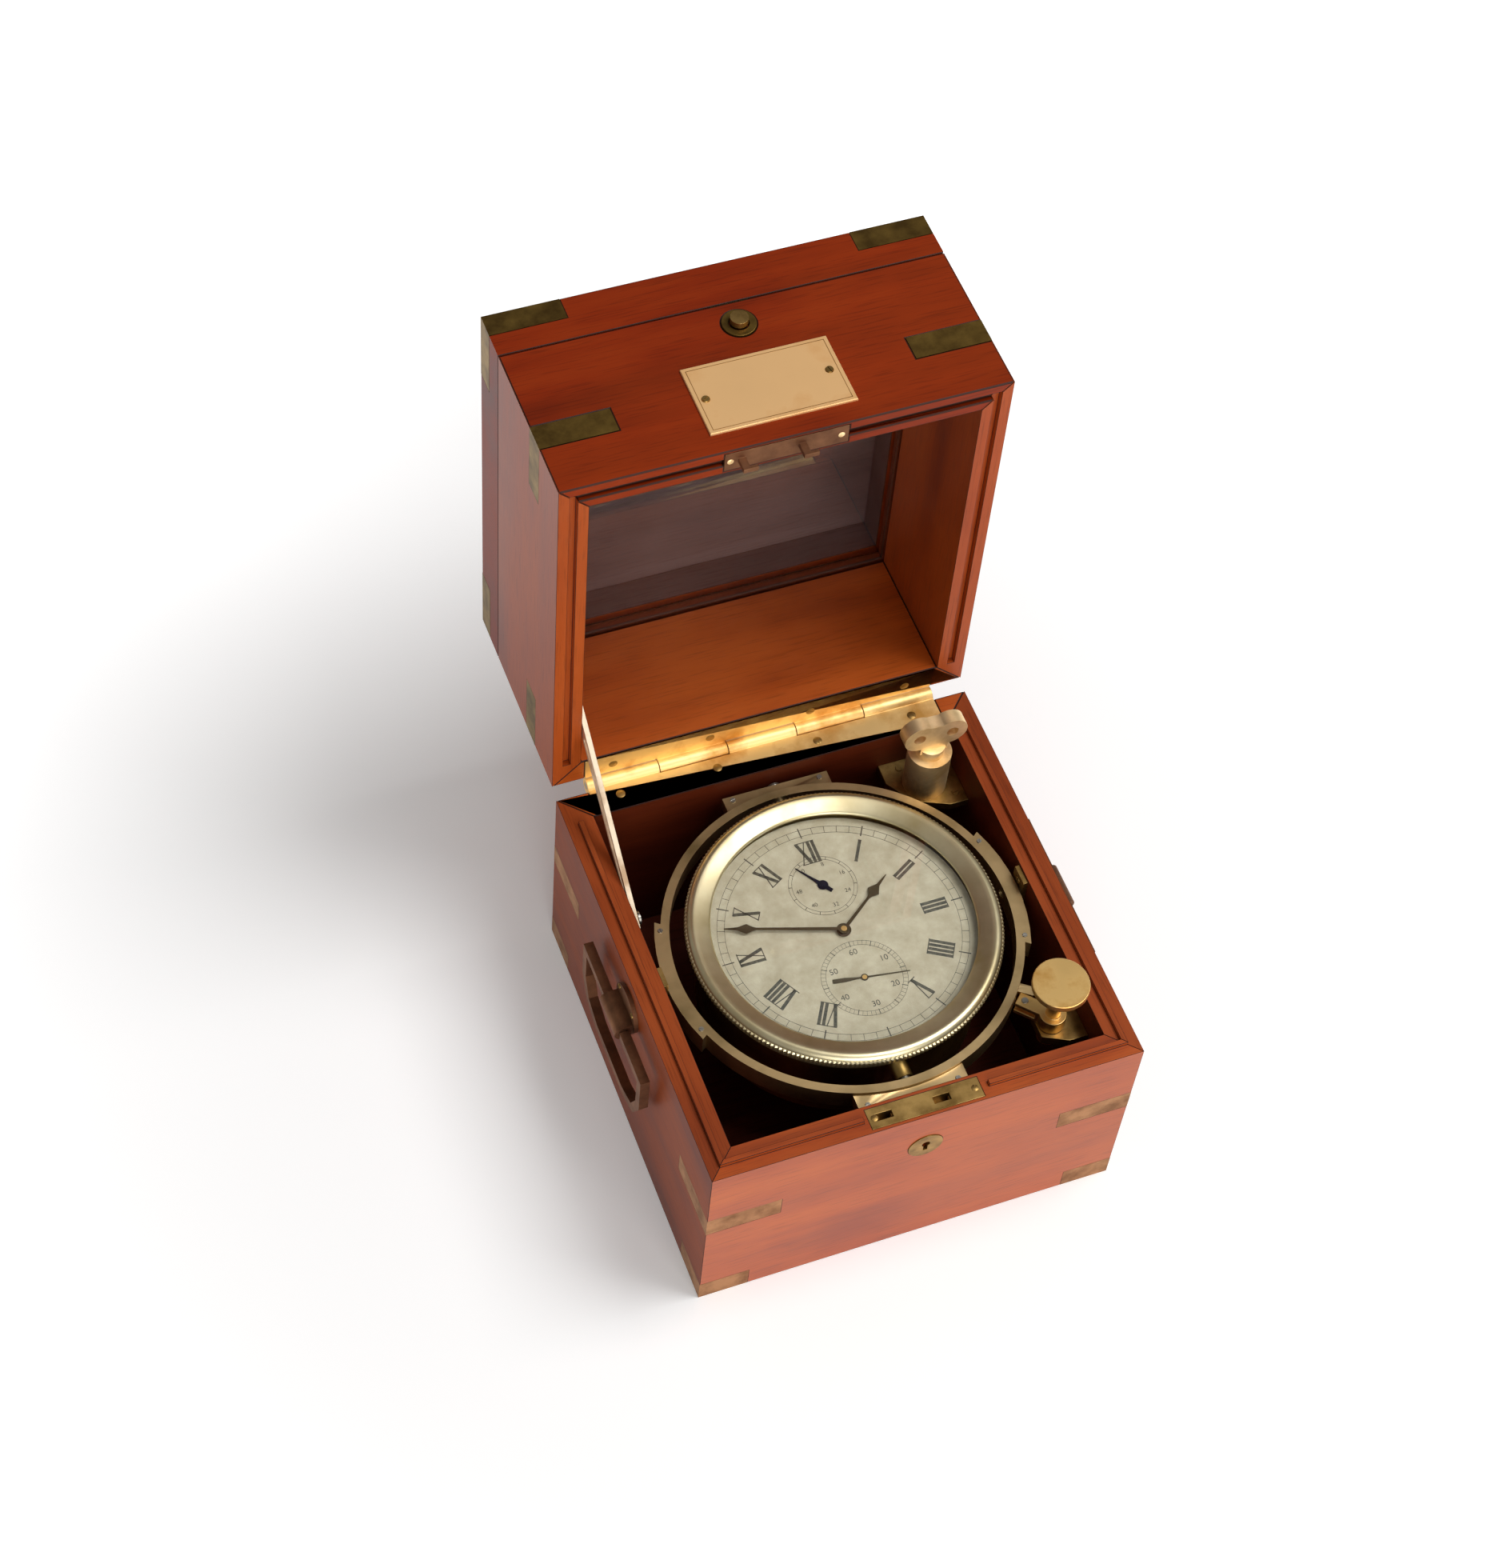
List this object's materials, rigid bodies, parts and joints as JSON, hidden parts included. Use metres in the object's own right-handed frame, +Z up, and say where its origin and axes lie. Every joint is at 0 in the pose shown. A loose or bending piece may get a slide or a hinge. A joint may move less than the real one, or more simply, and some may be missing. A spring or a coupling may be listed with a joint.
{
  "type": "marine chronometer",
  "caption": "Boxed marine chronometer: brass bowl slung in gimbals under a glazed middle tier and top lid, with winding key, gimbal lock, corner straps and drop handles.",
  "frame": {"origin": "centre of the box's underside, on the surface it stands on", "axes": "+X to the right seen from the front, +Y to the back (the dial's twelve), +Z up"},
  "size_m": [0.1988, 0.2817, 0.2864],
  "materials": {
    "mahogany": "french polished mahogany",
    "dark_mahogany": "waxed mahogany",
    "strap_brass": "dulled brass",
    "polished_brass": "polished lacquered brass",
    "aged_brass": "aged lacquered brass",
    "bezel_brass": "polished brass",
    "silvered_dial": "grained silvering",
    "blued_steel": "blued steel",
    "steel": "polished steel",
    "clear_glass": "clear plate glass"
  },
  "bodies": {
    "base": {"base_front_board": "mahogany", "base_back_board": "mahogany", "base_side_boards": "mahogany", "base_bottom_board": "mahogany", "base_straps": "strap_brass", "box_lock": "polished_brass", "keyhole_escutcheon": "strap_brass", "gimbal_bearings": "aged_brass", "gimbal_lock_bracket": "aged_brass", "key_holder": "aged_brass", "main_hinge_base_leaf": "polished_brass", "main_hinge_pin": "steel", "stay_stud": "steel", "handle_lugs": "aged_brass"},
    "bolt": {"lock_bolt": "polished_brass"},
    "handle_left": {"left_handle": "aged_brass"},
    "handle_right": {"right_handle": "aged_brass"},
    "key": {"winding_key": "polished_brass"},
    "gimbal_lock": {"gimbal_lock_lever": "polished_brass"},
    "middle_tier": {"tier_front_board": "mahogany", "tier_back_board": "mahogany", "tier_side_boards": "mahogany", "viewing_glass": "clear_glass", "glass_beading": "dark_mahogany", "tier_straps": "strap_brass", "main_hinge_tier_leaf": "polished_brass", "strike_plate": "polished_brass", "button_escutcheon": "strap_brass", "top_hinge_tier_leaves": "polished_brass"},
    "top_lid": {"top_lid_boards": "mahogany", "top_lid_straps": "strap_brass", "top_hinge_lid_leaves": "polished_brass", "lid_catch": "polished_brass"},
    "button": {"push_button": "polished_brass"},
    "stay": {"lid_stay": "aged_brass"},
    "ring": {"gimbal_ring": "aged_brass", "gimbal_pivot_screws": "steel"},
    "bowl_body": {"bowl": "aged_brass", "dial": "silvered_dial", "pillar_plate": "aged_brass", "top_plate": "aged_brass", "balance_cock": "aged_brass", "fusee_chain": "steel", "mainspring": "steel"},
    "bezel_body": {"bezel": "bezel_brass", "crystal": "clear_glass"},
    "shutter": {"winding_shutter": "aged_brass"},
    "fusee_body": {"fusee": "aged_brass"},
    "barrel_body": {"barrel": "aged_brass"},
    "centre": {"centre_wheel": "aged_brass", "minute_hand": "blued_steel"},
    "hour": {"hour_hand": "blued_steel"},
    "third": {"third_wheel": "aged_brass"},
    "fourth": {"fourth_wheel": "aged_brass", "seconds_hand": "blued_steel"},
    "escape": {"escape_wheel": "aged_brass"},
    "balance": {"balance_wheel": "aged_brass", "hairspring": "blued_steel"},
    "reserve": {"reserve_hand": "blued_steel"},
    "detent_body": {"detent": "steel"}
  },
  "joints": [
    {"name": "tier_hinge", "type": "hinge", "parent": "base", "child": "middle_tier", "pos_m": [0, 0.0952, 0.097], "axis": [1, 0, 0], "range_deg": [0, 90.8]},
    {"name": "top_lid_hinge", "type": "hinge", "parent": "middle_tier", "child": "top_lid", "pos_m": [0, 0.16636, 0.09741], "axis": [-1, 0, 0], "range_deg": [0, 95]},
    {"name": "button_push", "type": "slide", "parent": "middle_tier", "child": "button", "axis": [0, -0.014, -0.9999], "range_m": [0, 0.0018], "stiffness_N_per_m": 400},
    {"name": "stay_pivot", "type": "hinge", "parent": "middle_tier", "child": "stay", "pos_m": [-0.0766, 0.12412, 0.15184], "axis": [1, 0, 0], "range_deg": [-45.5, 0]},
    {"name": "lock_bolt_slide", "type": "slide", "parent": "base", "child": "bolt", "axis": [-1, 0, 0], "range_m": [0, 0.003]},
    {"name": "left_handle_hinge", "type": "hinge", "parent": "base", "child": "handle_left", "pos_m": [-0.0955, 0, 0.078], "axis": [0, 1, 0], "range_deg": [0, 100]},
    {"name": "right_handle_hinge", "type": "hinge", "parent": "base", "child": "handle_right", "pos_m": [0.0955, 0, 0.078], "axis": [0, -1, 0], "range_deg": [0, 100]},
    {"name": "key_lift", "type": "slide", "parent": "base", "child": "key", "axis": [0, 0, 1], "range_m": [0, 0.034]},
    {"name": "gimbal_lock_turn", "type": "hinge", "parent": "base", "child": "gimbal_lock", "pos_m": [0.066, -0.06, 0.086], "axis": [0, 0, 1], "range_deg": [-32, 0]},
    {"name": "ring_roll", "type": "hinge", "parent": "base", "child": "ring", "pos_m": [0, 0, 0.086], "axis": [1, 0, 0], "range_deg": [-40, 40]},
    {"name": "bowl_pitch", "type": "hinge", "parent": "ring", "child": "bowl_body", "pos_m": [0, 0, 0.086], "axis": [0, 1, 0], "range_deg": [-40, 180]},
    {"name": "bezel_turn", "type": "hinge", "parent": "bowl_body", "child": "bezel_body", "pos_m": [0, 0, 0.095], "axis": [0, 0, 1], "continuous": true},
    {"name": "shutter_turn", "type": "hinge", "parent": "bowl_body", "child": "shutter", "pos_m": [-0.0032, 0.00185, 0.026], "axis": [0, 0, 1], "range_deg": [0, 65], "stiffness_Nm_per_rad": 0.002},
    {"name": "third_turn", "type": "hinge", "parent": "bowl_body", "child": "third", "pos_m": [0.01437, -0.01197, 0.08], "axis": [0, 0, 1], "continuous": true},
    {"name": "centre_turn", "type": "hinge", "parent": "bowl_body", "child": "centre", "pos_m": [0, 0, 0.08], "axis": [0, 0, 1], "continuous": true},
    {"name": "hour_turn", "type": "hinge", "parent": "bowl_body", "child": "hour", "pos_m": [0, 0, 0.092], "axis": [0, 0, 1], "continuous": true},
    {"name": "fourth_turn", "type": "hinge", "parent": "bowl_body", "child": "fourth", "pos_m": [0, -0.0228, 0.08], "axis": [0, 0, 1], "continuous": true},
    {"name": "escape_turn", "type": "hinge", "parent": "bowl_body", "child": "escape", "pos_m": [-0.01512, -0.0228, 0.07], "axis": [0, 0, 1], "continuous": true},
    {"name": "fusee_turn", "type": "hinge", "parent": "bowl_body", "child": "fusee_body", "pos_m": [-0.01819, 0.0105, 0.072], "axis": [0, 0, 1], "continuous": true},
    {"name": "barrel_turn", "type": "hinge", "parent": "bowl_body", "child": "barrel_body", "pos_m": [0.015, 0.026, 0.072], "axis": [0, 0, 1], "continuous": true},
    {"name": "reserve_turn", "type": "hinge", "parent": "bowl_body", "child": "reserve", "pos_m": [0, 0.0228, 0.092], "axis": [0, 0, 1], "continuous": true},
    {"name": "balance_swing", "type": "hinge", "parent": "bowl_body", "child": "balance", "pos_m": [-0.0174, -0.0098, 0.054], "axis": [0, 0, 1], "range_deg": [-270, 270], "stiffness_Nm_per_rad": 0.00008},
    {"name": "detent_spring", "type": "hinge", "parent": "bowl_body", "child": "detent_body", "pos_m": [-0.036, -0.011, 0.065], "axis": [0, 0, 1], "range_deg": [-2, 0], "stiffness_Nm_per_rad": 0.0005}
  ],
  "couplings": [
    {"joint": "stay_pivot", "follows": "tier_hinge", "ratio": -0.5},
    {"joint": "centre_turn", "follows": "third_turn", "ratio": -0.13333},
    {"joint": "hour_turn", "follows": "third_turn", "ratio": -0.011111},
    {"joint": "fourth_turn", "follows": "third_turn", "ratio": -8},
    {"joint": "escape_turn", "follows": "third_turn", "ratio": 64},
    {"joint": "fusee_turn", "follows": "third_turn", "ratio": 0.022222},
    {"joint": "barrel_turn", "follows": "third_turn", "ratio": 0.013222},
    {"joint": "reserve_turn", "follows": "third_turn", "ratio": 0.0019778}
  ]
}
